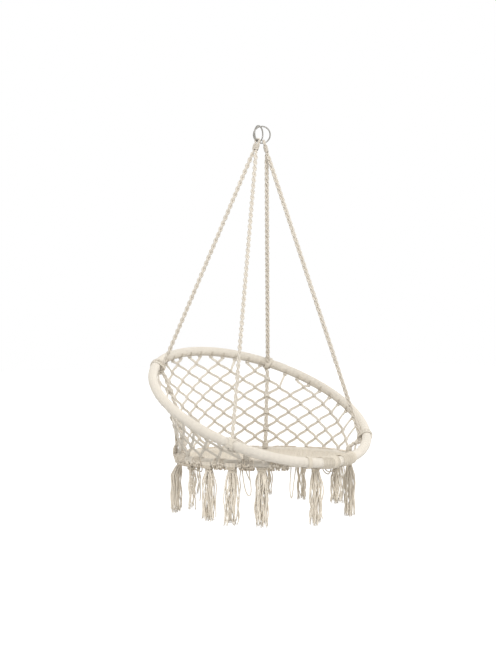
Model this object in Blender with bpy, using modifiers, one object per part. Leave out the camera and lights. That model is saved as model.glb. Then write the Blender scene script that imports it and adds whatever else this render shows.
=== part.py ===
"""Hanging macrame chair: a tilted rim hoop, a level seat hoop, a knotted net between
them, two folded ropes on a pair of steel rings, and tassels below the seat.

Metres, +Z up. The origin is where the hook carries the rings, midway between them. The chair
faces -Y.
"""
import math

import bmesh
import bpy
from mathutils import Matrix, Vector

# Rings at the top
WIRE_RADIUS = 0.0025
LARGE_RING_OUTER = 0.064
SMALL_RING_OUTER = 0.060
LARGE_RING_TURN = math.radians(-40.0)
SMALL_RING_TURN = math.radians(18.0)
LARGE_RING_LEAN = math.radians(16.0)
SMALL_RING_LEAN = math.radians(-17.0)
RING_SPACING = 0.0125

# Rim hoop: wrapped steel tube, low side to the front
HOOP_RADIUS = 0.400
HOOP_TILT = math.radians(27.5)
HOOP_DROP = 0.985
HOOP_SHIFT = -0.0045
HOOP_WRAP_RADIUS = 0.0170
HOOP_TUBE_RADIUS = 0.0125

# Seat hoop
SEAT_RADIUS = 0.302
SEAT_WRAP_RADIUS = 0.0135
SEAT_TUBE_RADIUS = 0.0095
TUBE_WALL = 0.0015
BUTT_GAP = 0.0005

# Woven seat
MAT_THICKNESS = 0.009
MAT_SAG = 0.022

# Ropes: the azimuths at which they are hitched to the rim hoop
ROPE_RADIUS = 0.0070
EYE_ROPE_RADIUS = 0.0045
BACK_ROPE_AZIMUTH = math.radians(48.75)
FRONT_ROPE_AZIMUTH = math.radians(-37.5)
EYE_BORE = 0.0045
EYE_SEAT_GAP = 0.0008
EYE_LEG_DROP = 0.0085
COLLAR_DROP = 0.0100
SWELL_LENGTH = 0.030
WHIPPING_LENGTH = 0.022
WHIPPING_WALL = 0.0025
HITCH_SHARE = 0.36
ROPE_POINT_STEP = 0.080

# Net: columns of knots stand between the cords' hitches on the rim hoop
NET_COLUMNS = 48
NET_ROW_STEP = 0.0305
NET_PANELS = 8
NET_BOW = 0.018
FULL_BOW_HEIGHT = 0.200
KNOT_REACH = 0.0055
CORD_THICKNESS = 0.0050
ROPE_BERTH = math.radians(3.0)

# Bindings at the front, and tassels
BINDING_AZIMUTHS = (math.radians(-102.0), math.radians(-87.0), math.radians(-72.0))
BINDING_WIDTH = 0.014
BINDING_WALL = 0.0030
TASSEL_AZIMUTHS = (264.5, 286.0, 319.0, 347.0, 22.0, 48.0, 71.0, 107.0, 140.0, 171.0, 190.0, 207.5, 227.5)
TASSEL_LENGTHS = (0.200, 0.140, 0.190, 0.185, 0.190, 0.185, 0.190, 0.195, 0.190, 0.175, 0.190, 0.200, 0.200)
TASSEL_HEAD_RADIUS = 0.0165
TASSEL_HEAD_HEIGHT = 0.028
TASSEL_SPREAD = 0.006
TASSEL_CORD_SHARE = 0.60
TASSEL_CORDS = 8
TASSEL_CORD_GAP = 0.0007

CLEARANCE = 0.0003
HOOP_SEGMENTS = 48
HOOP_SLEEVES = 12
WRAP_RESOLUTION = 4
SEAT_WRAP_RESOLUTION = 3
TUBE_RESOLUTION = 2
ROPE_RESOLUTION = 2
TURN_STEPS = 10
MERGE = 0.00005

UP = Vector((0.0, 0.0, 1.0))
HOOP_CENTRE = Vector((0.0, HOOP_SHIFT, -HOOP_DROP))
# At the front the two wrapped hoops lie side by side at one height
SEAT_CENTRE = HOOP_CENTRE + Vector((
    0.0,
    -HOOP_RADIUS * math.cos(HOOP_TILT) + HOOP_WRAP_RADIUS + SEAT_WRAP_RADIUS + CLEARANCE + SEAT_RADIUS,
    -HOOP_RADIUS * math.sin(HOOP_TILT)))


# ---------------------------------------------------------------- scene helpers

def clear_scene():
    for item in list(bpy.data.objects):
        bpy.data.objects.remove(item, do_unlink=True)


def make_collection(name):
    collection = bpy.data.collections.new(name)
    bpy.context.scene.collection.children.link(collection)
    return collection


def material(name, colour, roughness, metallic=0.0):
    made = bpy.data.materials.new(name)
    made.use_nodes = True
    shader = made.node_tree.nodes["Principled BSDF"]
    shader.inputs["Base Color"].default_value = (*colour, 1.0)
    shader.inputs["Roughness"].default_value = roughness
    shader.inputs["Metallic"].default_value = metallic
    made.diffuse_color = (*colour, 1.0)
    return made


def add_mesh(name, mesh, finish):
    item = bpy.data.objects.new(name, mesh)
    PARTS.objects.link(item)
    mesh.materials.clear()
    mesh.materials.append(finish)
    return item


def from_bmesh(name, bm, finish):
    bmesh.ops.recalc_face_normals(bm, faces=bm.faces)
    mesh = bpy.data.meshes.new(name)
    bm.to_mesh(mesh)
    bm.free()
    return add_mesh(name, mesh, finish)


def curve_tube(name, points, radius, resolution, finish, capped=True, slim=None):
    """A tube along the points. Where slim gives a share for a point, the tube is that much thinner."""
    curve = bpy.data.curves.new(name, 'CURVE')
    curve.dimensions = '3D'
    curve.bevel_depth = radius
    curve.bevel_resolution = resolution
    curve.use_fill_caps = capped
    spline = curve.splines.new('POLY')
    spline.points.add(len(points) - 1)
    for index, (spot, point) in enumerate(zip(spline.points, points)):
        spot.co = (*point, 1.0)
        spot.radius = slim[index] if slim else 1.0
    item = bpy.data.objects.new(name, curve)
    PARTS.objects.link(item)
    curve.materials.append(finish)
    return item


def walled_tube(name, points, radius, resolution, wall, finish):
    """An open curve tube made a mesh, with a wall set inwards."""
    guide = curve_tube(name + "_guide", points, radius, resolution, finish, capped=False)
    bpy.context.view_layer.update()
    evaluated = guide.evaluated_get(bpy.context.evaluated_depsgraph_get())
    mesh = bpy.data.meshes.new_from_object(evaluated)
    mesh.name = name
    curve = guide.data
    bpy.data.objects.remove(guide, do_unlink=True)
    bpy.data.curves.remove(curve)
    bm = bmesh.new()
    bm.from_mesh(mesh)
    bmesh.ops.remove_doubles(bm, verts=bm.verts, dist=MERGE)
    bm.to_mesh(mesh)
    bm.free()
    item = add_mesh(name, mesh, finish)
    solidify = item.modifiers.new("wall", 'SOLIDIFY')
    solidify.thickness = wall
    solidify.offset = -1.0
    solidify.use_even_offset = True
    return item


def smooth(item, angle=40.0):
    if item.type == 'MESH':
        item.data.shade_smooth()
        item.data.set_sharp_from_angle(angle=math.radians(angle))


def polygon_factor(resolution):
    """How much closer a bevelled tube's flats are than its corners."""
    return math.cos(math.pi / (4 + 2 * resolution))


# ---------------------------------------------------------------- where the hoops run

def hoop_corner(angle):
    return HOOP_CENTRE + HOOP_RADIUS * Vector((
        math.cos(angle), math.cos(HOOP_TILT) * math.sin(angle), math.sin(HOOP_TILT) * math.sin(angle)))


def seat_corner(angle):
    return SEAT_CENTRE + SEAT_RADIUS * Vector((math.cos(angle), math.sin(angle), 0.0))


def on_chord(corner, segments, angle):
    """A point on the hoop as it is built, from straight chords between its corners."""
    step = 2.0 * math.pi / segments
    first = math.floor(angle / step + 1e-6)
    share = angle / step - first
    return corner(first * step).lerp(corner((first + 1) * step), share)


def hoop_point(angle):
    return on_chord(hoop_corner, HOOP_SEGMENTS, angle)


def seat_point(angle):
    return on_chord(seat_corner, HOOP_SEGMENTS, angle)


def along(corner, angle):
    """The direction in which a hoop runs."""
    small = 0.001
    return (corner(angle + small) - corner(angle - small)).normalized()


def square_to(direction, axis):
    """The part of a direction that is square to an axis, at length one."""
    return (direction - axis * direction.dot(axis)).normalized()


# ---------------------------------------------------------------- rings at the top

class RingShape:
    """A wire ring hung on the hook, turned about Z and leaning in its own plane."""

    def __init__(self, outer, turn, lean, along_hook):
        hook_rod = Vector((math.sin(LARGE_RING_TURN), -math.cos(LARGE_RING_TURN), 0.0))
        self.turn = turn
        self.wire_run = Vector((math.cos(turn), math.sin(turn), 0.0))
        self.wire_reach = outer / 2.0 - WIRE_RADIUS
        away = self.wire_run * math.sin(lean) - UP * math.cos(lean)
        self.centre = hook_rod * along_hook + away * (self.wire_reach - WIRE_RADIUS)
        self.foot = self.centre + away * self.wire_reach
        self.foot_run = self.wire_run * math.cos(lean) + UP * math.sin(lean)


def ring(name, shape, finish):
    bpy.ops.mesh.primitive_torus_add(
        major_radius=shape.wire_reach, minor_radius=WIRE_RADIUS, major_segments=32, minor_segments=8)
    item = bpy.context.object
    item.name = name
    for holder in list(item.users_collection):
        holder.objects.unlink(item)
    PARTS.objects.link(item)
    item.data.materials.append(finish)
    standing = Matrix.Rotation(math.pi / 2.0, 4, 'X')
    item.data.transform(Matrix.Rotation(shape.turn, 4, 'Z') @ standing)
    item.location = shape.centre
    smooth(item)
    return item


# ---------------------------------------------------------------- ropes

def hitch(azimuth, from_point):
    """One full turn round the rim hoop, in which the rope's strands spread flat. It arrives and
    leaves on the inner side, going down, and leaves on the side to which its lower leg leans.
    Gives the points and how thin the rope is at each.
    """
    centre = hoop_point(azimuth)
    run = along(hoop_corner, azimuth)
    up = square_to(from_point - centre, run)
    out = square_to(Vector((centre.x, centre.y - HOOP_CENTRE.y, 0.0)), run)
    out = square_to(out, up)
    pitch = math.copysign(2.0 * ROPE_RADIUS + 3.0 * CLEARANCE, (seat_point(azimuth) - centre).dot(run))
    points = []
    slim = []
    for step in range(TURN_STEPS + 1):
        share = step / TURN_STEPS
        turn = math.pi + 2.0 * math.pi * share
        slim.append(1.0 - (1.0 - HITCH_SHARE) * min(1.0, 4.0 * share, 4.0 * (1.0 - share)))
        reach = HOOP_WRAP_RADIUS + ROPE_RADIUS * slim[-1] + 2.0 * CLEARANCE
        radius = reach / math.cos(math.pi / TURN_STEPS)
        points.append(centre + radius * (math.cos(turn) * out + math.sin(turn) * up)
                      + run * pitch * (share - 0.5))
    return points, slim


def net_line(azimuth, height):
    """A point of the net's surface at a height, on the line from seat hoop to rim hoop."""
    low = seat_corner(azimuth)
    high = hoop_corner(azimuth)
    share = (height - low.z) / (high.z - low.z)
    inward = Vector((-math.cos(azimuth), -math.sin(azimuth), 0.0))
    bow = NET_BOW * math.sin(math.pi * min(max(share, 0.0), 1.0)) * min(1.0, (high.z - low.z) / FULL_BOW_HEIGHT)
    return low.lerp(high, share) + inward * bow


def lower_leg(azimuth, start):
    """The rope from its hitch down the inside of the net to the top of the seat hoop."""
    inside = CORD_THICKNESS / 2.0 + ROPE_RADIUS + 4.0 * CLEARANCE
    inward = Vector((-math.cos(azimuth), -math.sin(azimuth), 0.0))
    tie, lean = tie_place(azimuth)
    beside = max(0.0, inside - (SEAT_WRAP_RADIUS + KNOT_REACH) * math.sqrt(1.0 - lean.z * lean.z))
    foot = seat_point(azimuth) + inward * beside
    foot.z = SEAT_CENTRE.z + SEAT_WRAP_RADIUS + 2.0 * CLEARANCE
    top = start.z - 2.0 * ROPE_RADIUS
    bottom = foot.z + 2.0 * ROPE_RADIUS
    rows = max(1, round((top - bottom) / NET_ROW_STEP))
    points = []
    for row in range(rows):
        height = top + (bottom - top) * row / rows
        here = net_line(azimuth, height)
        rise = (net_line(azimuth, height + ROPE_RADIUS) - here).normalized()
        normal = rise.cross(along(seat_corner, azimuth)).normalized()
        if normal.dot(inward) < 0.0:
            normal.negate()
        points.append(here + normal * inside)
    points.append(foot + UP * (bottom - foot.z))
    points.append(foot)
    return points


def between(start, end):
    """Points at even steps along a straight run of rope, without its ends."""
    count = math.ceil((end - start).length / ROPE_POINT_STEP)
    return [start.lerp(end, index / count) for index in range(1, count)]


def rope_route(side, foot, wire):
    """From the back of the seat hoop up to the eye on the ring, and down to the front."""
    back = BACK_ROPE_AZIMUTH if side > 0 else math.pi - BACK_ROPE_AZIMUTH
    front = FRONT_ROPE_AZIMUTH if side > 0 else math.pi - FRONT_ROPE_AZIMUTH
    middle = (hoop_point(back) + hoop_point(front)) / 2.0
    down = square_to(middle - foot, wire)
    toward_back = wire.cross(down).normalized()
    if toward_back.y < 0.0:
        toward_back.negate()
    fold_radius = EYE_BORE + EYE_ROPE_RADIUS
    fold_centre = foot + down * (EYE_BORE - WIRE_RADIUS - EYE_SEAT_GAP)
    fold = []
    steps = 6
    for step in range(steps + 1):
        turn = math.pi * step / steps
        fold.append(fold_centre + fold_radius * (math.cos(turn) * toward_back - math.sin(turn) * down))
    beside = EYE_ROPE_RADIUS + CLEARANCE
    thin = EYE_ROPE_RADIUS / ROPE_RADIUS
    legs = {}
    slims = {}
    for name, azimuth, sign in (("back", back, 1.0), ("front", front, -1.0)):
        top = fold_centre + down * EYE_LEG_DROP + toward_back * sign * beside
        bottom = top + down * (WHIPPING_LENGTH + 2.0 * (COLLAR_DROP - EYE_LEG_DROP))
        turns, turns_slim = hitch(azimuth, bottom)
        full = bottom + (turns[0] - bottom).normalized() * SWELL_LENGTH
        straight = [full] + between(full, turns[0])
        lower = lower_leg(azimuth, turns[-1])
        legs[name] = [top, bottom] + straight + turns + lower
        slims[name] = [thin, thin] + [1.0] * len(straight) + turns_slim + [1.0] * len(lower)
    collar = (fold_centre + down * COLLAR_DROP, down, toward_back)
    route = list(reversed(legs["back"])) + fold + legs["front"]
    slim = list(reversed(slims["back"])) + [thin] * len(fold) + slims["front"]
    return route, slim, collar


def whipping(name, start, down, across, finish):
    """A wound collar round the two legs of an eye: an oval band with swollen middle."""
    steps = 5
    half_gap = EYE_ROPE_RADIUS + CLEARANCE
    inner = (EYE_ROPE_RADIUS + 1.5 * CLEARANCE) / math.cos(math.pi / (4 * steps))
    deep = down.cross(across)
    outline = []
    for sign in (1.0, -1.0):
        for step in range(2 * steps - 1):
            turn = -math.pi / 2.0 + math.pi * step / (2 * steps - 2)
            outline.append((sign * half_gap, sign * math.cos(turn), sign * math.sin(turn)))
    bm = bmesh.new()
    rings = []
    for share, wall in ((0.0, 0.0), (1.0, 0.0), (1.0, 0.6), (0.8, 1.0), (0.2, 1.0), (0.0, 0.6)):
        radius = inner + WHIPPING_WALL * wall
        place = start + down * WHIPPING_LENGTH * share
        rings.append([bm.verts.new(place + across * (middle + radius * wide) + deep * radius * tall)
                      for middle, wide, tall in outline])
    bridge_rings(bm, rings + [rings[0]])
    item = from_bmesh(name, bm, finish)
    smooth(item, 35.0)
    return item


def bridge_rings(bm, rings):
    for first, second in zip(rings, rings[1:]):
        count = len(first)
        for index in range(count):
            after = (index + 1) % count
            bm.faces.new((first[index], first[after], second[after], second[index]))


# ---------------------------------------------------------------- hoops

def sleeves(prefix, corner, segments, count, radius, bore, resolution, finish):
    """The wound wrap, in lengths that butt against each other round the hoop."""
    per_sleeve = segments // count
    step = 2.0 * math.pi / segments
    made = []
    for number in range(count):
        points = [corner((number * per_sleeve + place) * step) for place in range(per_sleeve + 1)]
        first = (points[1] - points[0]).normalized()
        last = (points[-1] - points[-2]).normalized()
        points[0] = points[0] + first * sleeve_end(radius, segments)
        points[-1] = points[-1] - last * sleeve_end(radius, segments)
        item = walled_tube(f"{prefix}_{number + 1:02d}", points, radius, resolution,
                           radius * polygon_factor(resolution) - bore, finish)
        smooth(item)
        made.append(item)
    return made


def sleeve_end(radius, segments):
    """How far a sleeve is cut short, so that square ends on a bend still clear each other."""
    return CLEARANCE / 2.0 + radius * math.tan(math.pi / segments)


def hoop_tube(name, corner, segments, radius, finish):
    step = 2.0 * math.pi / segments
    start = -math.pi / 2.0
    points = [corner(start + place * step) for place in range(1, segments)]
    seam = corner(start)
    reach = BUTT_GAP / 2.0 + radius * math.tan(math.pi / segments)
    points.insert(0, seam + (points[0] - seam).normalized() * reach)
    points.append(seam + (points[-1] - seam).normalized() * reach)
    item = walled_tube(name, points, radius, TUBE_RESOLUTION, TUBE_WALL, finish)
    smooth(item)
    return item


def seat_mat(name, finish):
    """The woven seat: a dished disc whose rim lies inside the seat hoop."""
    rim = SEAT_RADIUS - SEAT_WRAP_RADIUS - CLEARANCE
    profile = [(0.0, -MAT_SAG), (rim * 0.5, -MAT_SAG * 0.75), (rim * 0.85, -MAT_SAG * 0.2), (rim, 0.0),
               (rim, -MAT_THICKNESS), (rim * 0.85, -MAT_SAG * 0.2 - MAT_THICKNESS),
               (rim * 0.5, -MAT_SAG * 0.75 - MAT_THICKNESS), (0.0, -MAT_SAG - MAT_THICKNESS)]
    mesh = bpy.data.meshes.new(name)
    mesh.from_pydata([(x, 0.0, z) for x, z in profile], [(n, n + 1) for n in range(len(profile) - 1)], [])
    item = add_mesh(name, mesh, finish)
    screw = item.modifiers.new("turn", 'SCREW')
    screw.steps = HOOP_SEGMENTS
    screw.render_steps = HOOP_SEGMENTS
    screw.use_merge_vertices = True
    screw.merge_threshold = MERGE
    screw.use_smooth_shade = True
    item.location = SEAT_CENTRE + UP * MAT_THICKNESS / 2.0
    for number, azimuth in enumerate(BINDING_AZIMUTHS):
        notch = binding_notch(f"binding_notch_{number + 1}", azimuth)
        cut = item.modifiers.new(notch.name, 'BOOLEAN')
        cut.operation = 'DIFFERENCE'
        cut.object = notch
    return item


def binding_notch(name, azimuth):
    """The cutter that lets a front binding pass between the seat and its hoop."""
    rim = hoop_point(azimuth) - SEAT_CENTRE
    heading = math.atan2(rim.y, rim.x)
    reach = 2.0 * (SEAT_WRAP_RADIUS + BINDING_WALL + 7.0 * CLEARANCE)
    bpy.ops.mesh.primitive_cube_add(size=1.0)
    item = bpy.context.object
    item.name = name
    for holder in list(item.users_collection):
        holder.objects.unlink(item)
    CUTTERS.objects.link(item)
    item.data.transform(Matrix.Diagonal((reach, BINDING_WIDTH + 10.0 * CLEARANCE, 4.0 * SEAT_WRAP_RADIUS, 1.0)))
    item.location = seat_point(heading)
    item.rotation_euler = (0.0, 0.0, heading)
    item.hide_render = True
    item.display_type = 'WIRE'
    return item


# ---------------------------------------------------------------- net

class Knot:
    """A flat diamond of cord with four faces, one for each cord that leaves it."""

    def __init__(self, bm, centre, side, up):
        out = side.cross(up).normalized()
        self.centre = centre
        self.used = set()
        self.verts = {}
        for name, offset in (("right", side), ("up", up), ("left", -side), ("down", -up)):
            for depth, sign in (("out", 0.5), ("in", -0.5)):
                place = centre + offset * KNOT_REACH + out * CORD_THICKNESS * sign
                self.verts[name, depth] = bm.verts.new(place)

    def quad(self, first, second):
        """The face between two corners, as outer and inner pairs."""
        return [self.verts[first, "out"], self.verts[second, "out"],
                self.verts[second, "in"], self.verts[first, "in"]]

    def close(self, bm):
        corners = ("right", "up", "left", "down")
        for depth in ("out", "in"):
            bm.faces.new([self.verts[name, depth] for name in corners])
        for name, after in zip(corners, corners[1:] + corners[:1]):
            if (name, after) not in self.used:
                bm.faces.new(self.quad(name, after))


UP_RIGHT = ("right", "up")
UP_LEFT = ("up", "left")
DOWN_LEFT = ("left", "down")
DOWN_RIGHT = ("down", "right")


def join_quads(bm, first, second):
    """A cord's four sides between two matching rings of corners."""
    for index in range(4):
        after = (index + 1) % 4
        bm.faces.new((first[index], first[after], second[after], second[index]))


def column_azimuth(column):
    return (column + 0.5) * 2.0 * math.pi / NET_COLUMNS


def row_height(row):
    return SEAT_CENTRE.z + SEAT_WRAP_RADIUS + 2.0 * CLEARANCE + KNOT_REACH + row * NET_ROW_STEP


def near_rope(azimuth, reach):
    for rope in (BACK_ROPE_AZIMUTH, math.pi - BACK_ROPE_AZIMUTH, FRONT_ROPE_AZIMUTH,
                 math.pi - FRONT_ROPE_AZIMUTH):
        if abs(math.remainder(azimuth - rope, 2.0 * math.pi)) < reach:
            return True
    return False


def top_row(column):
    """The highest row whose knot still hangs clear below the rim hoop."""
    azimuth = column_azimuth(column)
    clear = HOOP_WRAP_RADIUS + (3.0 if near_rope(azimuth, ROPE_BERTH) else 2.0) * ROPE_RADIUS
    room = hoop_corner(azimuth).z - clear - row_height(0)
    return math.floor(room / NET_ROW_STEP)


def tie_place(azimuth):
    """Where the lowest knot of a column sits on the seat hoop."""
    centre = seat_point(azimuth)
    lean = square_to(net_line(azimuth, row_height(1)) - centre, along(seat_corner, azimuth))
    return centre + lean * (SEAT_WRAP_RADIUS + KNOT_REACH + 2.0 * CLEARANCE), lean


def rim_place(azimuth):
    """Where a knot sits below the rim hoop, in the short net beside the front."""
    centre = hoop_point(azimuth)
    lean = square_to(seat_point(azimuth) - centre, along(hoop_corner, azimuth))
    return centre + lean * (HOOP_WRAP_RADIUS + KNOT_REACH + 2.0 * CLEARANCE), -lean


def net_layout():
    """Every knot's key (column, row) with its centre and its upward direction."""
    knots = {}
    for column in range(NET_COLUMNS):
        azimuth = column_azimuth(column)
        if hoop_corner(azimuth).z - seat_corner(azimuth).z < 0.5 * NET_ROW_STEP:
            continue
        if column % 2 == 0:
            knots[column, 0] = tie_place(azimuth)
        elif top_row(column) < 1:
            knots[column, 1] = rim_place(azimuth)
        for row in range(2 - column % 2, top_row(column) + 1, 2):
            place = net_line(azimuth, row_height(row))
            above = net_line(azimuth, row_height(row) + KNOT_REACH)
            knots[column, row] = (place, (above - place).normalized())
    return knots


def net_panel(name, columns, layout, finish):
    """One width of the net. Cords that cross into the next width end just short of its knot."""
    bm = bmesh.new()
    made = {}
    for key, (centre, up) in layout.items():
        if key[0] in columns:
            side = square_to(along(seat_corner, column_azimuth(key[0])), up)
            made[key] = Knot(bm, centre, side, up)
    for (column, row), knot in made.items():
        if row == 1 and top_row(column) < 1:
            continue
        for sign, leave, arrive in ((1, UP_RIGHT, DOWN_LEFT), (-1, UP_LEFT, DOWN_RIGHT)):
            above = ((column + sign) % NET_COLUMNS, row + 1)
            if above in made:
                knot.used.add(leave)
                made[above].used.add(arrive)
                near = knot.quad(*leave)
                far = made[above].quad(*arrive)
                join_quads(bm, near, [far[1], far[0], far[3], far[2]])
            elif above in layout:
                stub(bm, knot, leave, layout[above], above, sign)
            elif not near_rope(column_azimuth(column), ROPE_BERTH / 3.0):
                hitch_cord(bm, knot, leave, column, sign)
    for knot in made.values():
        knot.close(bm)
    return from_bmesh(name, bm, finish)


def stub(bm, knot, leave, target, key, sign):
    """A cord to a knot of the next width, ending square before that knot's face."""
    centre, up = target
    side = square_to(along(seat_corner, column_azimuth(key[0])), up)
    out = side.cross(up).normalized()
    toward = (knot.centre - centre).normalized()
    short = toward * CLEARANCE * 2.0
    low = centre - up * KNOT_REACH + short
    flank = centre - side * sign * KNOT_REACH + short
    half = out * CORD_THICKNESS / 2.0
    ends = (low, flank) if sign > 0 else (flank, low)
    corners = [bm.verts.new(place) for place in (ends[0] + half, ends[1] + half,
                                                 ends[1] - half, ends[0] - half)]
    knot.used.add(leave)
    join_quads(bm, knot.quad(*leave), corners)
    bm.faces.new(corners)


def hitch_cord(bm, knot, leave, column, sign):
    """A cord from the topmost knot to the rim hoop."""
    half_step = math.pi / NET_COLUMNS
    azimuth = column_azimuth(column) + sign * half_step
    if near_rope(azimuth, ROPE_BERTH):
        return
    centre = hoop_point(azimuth)
    run = along(hoop_corner, azimuth)
    lean = square_to(knot.centre - centre, run)
    foot = centre + lean * (HOOP_WRAP_RADIUS + 2.0 * CLEARANCE)
    half = lean.cross(run).normalized() * CORD_THICKNESS / 2.0
    side = square_to(along(seat_corner, column_azimuth(column)), UP)
    out = side.cross(UP)
    if half.dot(out) < 0.0:
        half.negate()
    wide = run * KNOT_REACH * 0.7
    ends = (foot + wide, foot - wide)
    corners = [bm.verts.new(place) for place in (ends[0] + half, ends[1] + half,
                                                 ends[1] - half, ends[0] - half)]
    knot.used.add(leave)
    join_quads(bm, knot.quad(*leave), corners)
    bm.faces.new(corners)


# ---------------------------------------------------------------- front bindings

def binding(name, azimuth, finish):
    """A wound band round both hoops where they lie side by side."""
    rim = hoop_point(azimuth)
    outward = rim - SEAT_CENTRE
    seat_azimuth = math.atan2(outward.y, outward.x)
    seat = seat_point(seat_azimuth)
    run = (along(hoop_corner, azimuth) + along(seat_corner, seat_azimuth)).normalized()
    across = square_to(rim - seat, run)
    deep = run.cross(across)
    span = (rim - seat).dot(across)
    steps = 6
    lift = 3.0 * CLEARANCE
    bm = bmesh.new()
    rings = []
    for share, wall in ((-0.5, 0.0), (0.5, 0.0), (0.5, 0.5), (0.3, 1.0), (-0.3, 1.0), (-0.5, 0.5)):
        outline = []
        for place, reach, first in ((span, HOOP_WRAP_RADIUS, -math.pi / 2.0),
                                    (0.0, SEAT_WRAP_RADIUS, math.pi / 2.0)):
            radius = (reach + lift) / math.cos(math.pi / (2 * steps)) + BINDING_WALL * wall
            for step in range(steps + 1):
                turn = first + math.pi * step / steps
                outline.append(seat + run * (BINDING_WIDTH * share) + across * (place + radius * math.cos(turn))
                               + deep * radius * math.sin(turn))
        rings.append([bm.verts.new(point) for point in outline])
    bridge_rings(bm, rings + [rings[0]])
    item = from_bmesh(name, bm, finish)
    smooth(item, 35.0)
    return item


# ---------------------------------------------------------------- tassels

def tassel(name, azimuth, length, finish):
    """A wound head and its cut cords. The origin is on the seat hoop, about which it swings."""
    bm = bmesh.new()
    head_top = -(SEAT_WRAP_RADIUS + CLEARANCE)
    bmesh.ops.create_cone(
        bm, cap_ends=True, cap_tris=True, segments=TASSEL_CORDS, radius1=TASSEL_HEAD_RADIUS,
        radius2=TASSEL_HEAD_RADIUS * 0.75, depth=TASSEL_HEAD_HEIGHT,
        matrix=Matrix.Translation((0.0, 0.0, head_top - TASSEL_HEAD_HEIGHT / 2.0)))
    bottom = head_top - TASSEL_HEAD_HEIGHT
    cords = [face for face in bm.faces if face.normal.z < -0.9]
    bmesh.ops.inset_individual(bm, faces=cords, thickness=TASSEL_CORD_GAP)
    reach = length - TASSEL_HEAD_HEIGHT - SEAT_WRAP_RADIUS
    for share, grow in ((0.12, TASSEL_CORD_SHARE), (0.88, 1.0)):
        extruded = bmesh.ops.extrude_discrete_faces(bm, faces=cords)
        cords = extruded["faces"]
        for face in cords:
            middle = face.calc_center_median()
            outward = Vector((middle.x, middle.y, 0.0)).normalized()
            heading = math.atan2(outward.y, outward.x)
            uneven = 1.0 + 0.06 * math.sin(3.0 * heading + azimuth) - 0.04 * math.cos(5.0 * heading)
            shift = outward * TASSEL_SPREAD * share - UP * reach * share * uneven
            for vert in face.verts:
                vert.co = middle + (vert.co - middle) * grow + shift
    item = from_bmesh(name, bm, finish)
    turn = math.radians(azimuth)
    item.location = seat_point(turn)
    item.rotation_euler = (0.0, 0.0, turn)
    smooth(item, 35.0)
    return item


# ---------------------------------------------------------------- assembly

def hang(items, pivot):
    """Parents what swings to the pivot without moving it."""
    bpy.context.view_layer.update()
    for item in items:
        item.parent = pivot
        item.matrix_parent_inverse = pivot.matrix_world.inverted()


def build():
    steel = material("ring_steel", (0.55, 0.56, 0.57), 0.28, 1.0)
    tube_steel = material("tube_steel", (0.42, 0.43, 0.44), 0.45, 1.0)
    rope_cotton = material("rope_cotton", (0.72, 0.66, 0.56), 0.9)
    wrap_cotton = material("wrap_cotton", (0.80, 0.75, 0.66), 0.85)
    net_cotton = material("net_cotton", (0.74, 0.69, 0.58), 0.9)
    tassel_cotton = material("tassel_cotton", (0.76, 0.70, 0.60), 0.92)

    large = RingShape(LARGE_RING_OUTER, LARGE_RING_TURN, LARGE_RING_LEAN, -RING_SPACING / 2.0)
    small = RingShape(SMALL_RING_OUTER, SMALL_RING_TURN, SMALL_RING_LEAN, RING_SPACING / 2.0)
    ring("ring_large", large, steel)
    ring("ring_small", small, steel)

    swinging = []
    for side, name, shape in ((1.0, "right", large), (-1.0, "left", small)):
        route, slim, collar = rope_route(side, shape.foot, shape.foot_run)
        swinging.append(curve_tube(f"rope_{name}", route, ROPE_RADIUS, ROPE_RESOLUTION, rope_cotton, slim=slim))
        swinging.append(whipping(f"whipping_{name}", *collar, rope_cotton))

    hoop_bore = (HOOP_TUBE_RADIUS + CLEARANCE)
    seat_bore = (SEAT_TUBE_RADIUS + CLEARANCE)
    swinging.append(hoop_tube("rim_hoop_tube", hoop_corner, HOOP_SEGMENTS, HOOP_TUBE_RADIUS, tube_steel))
    swinging.append(hoop_tube("seat_hoop_tube", seat_corner, HOOP_SEGMENTS, SEAT_TUBE_RADIUS, tube_steel))
    swinging += sleeves("rim_wrap", hoop_corner, HOOP_SEGMENTS, HOOP_SLEEVES, HOOP_WRAP_RADIUS, hoop_bore,
                        WRAP_RESOLUTION, wrap_cotton)
    swinging += sleeves("seat_wrap", seat_corner, HOOP_SEGMENTS, HOOP_SLEEVES, SEAT_WRAP_RADIUS, seat_bore,
                        SEAT_WRAP_RESOLUTION, wrap_cotton)
    swinging.append(seat_mat("seat_mat", net_cotton))

    layout = net_layout()
    width = NET_COLUMNS // NET_PANELS
    for number in range(NET_PANELS):
        columns = range(number * width, (number + 1) * width)
        swinging.append(net_panel(f"net_panel_{number + 1}", columns, layout, net_cotton))
    for number, azimuth in enumerate(BINDING_AZIMUTHS):
        swinging.append(binding(f"front_binding_{number + 1}", azimuth, rope_cotton))
    for number, (azimuth, length) in enumerate(zip(TASSEL_AZIMUTHS, TASSEL_LENGTHS)):
        swinging.append(tassel(f"tassel_{number + 1:02d}", azimuth, length, tassel_cotton))

    pivot = bpy.data.objects.new("swing_pivot", None)
    PARTS.objects.link(pivot)
    pivot.location = (large.foot + small.foot) / 2.0
    hang(swinging, pivot)
    print("swing pivot", tuple(pivot.location))


clear_scene()
PARTS = make_collection("hanging_macrame_chair")
CUTTERS = make_collection("cutters")
build()
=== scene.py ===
"""The looks of the hanging macrame chair: plaited ropes on two steel rings, wound hoops, a knotted
net, a woven seat and frayed tassels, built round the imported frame. Metres, +Z up, open to -Y.
"""
import math
import random
from math import cos, pi, radians, sin, tau

import bmesh
import bpy
import numpy as np
from mathutils import Matrix, Vector


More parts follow.
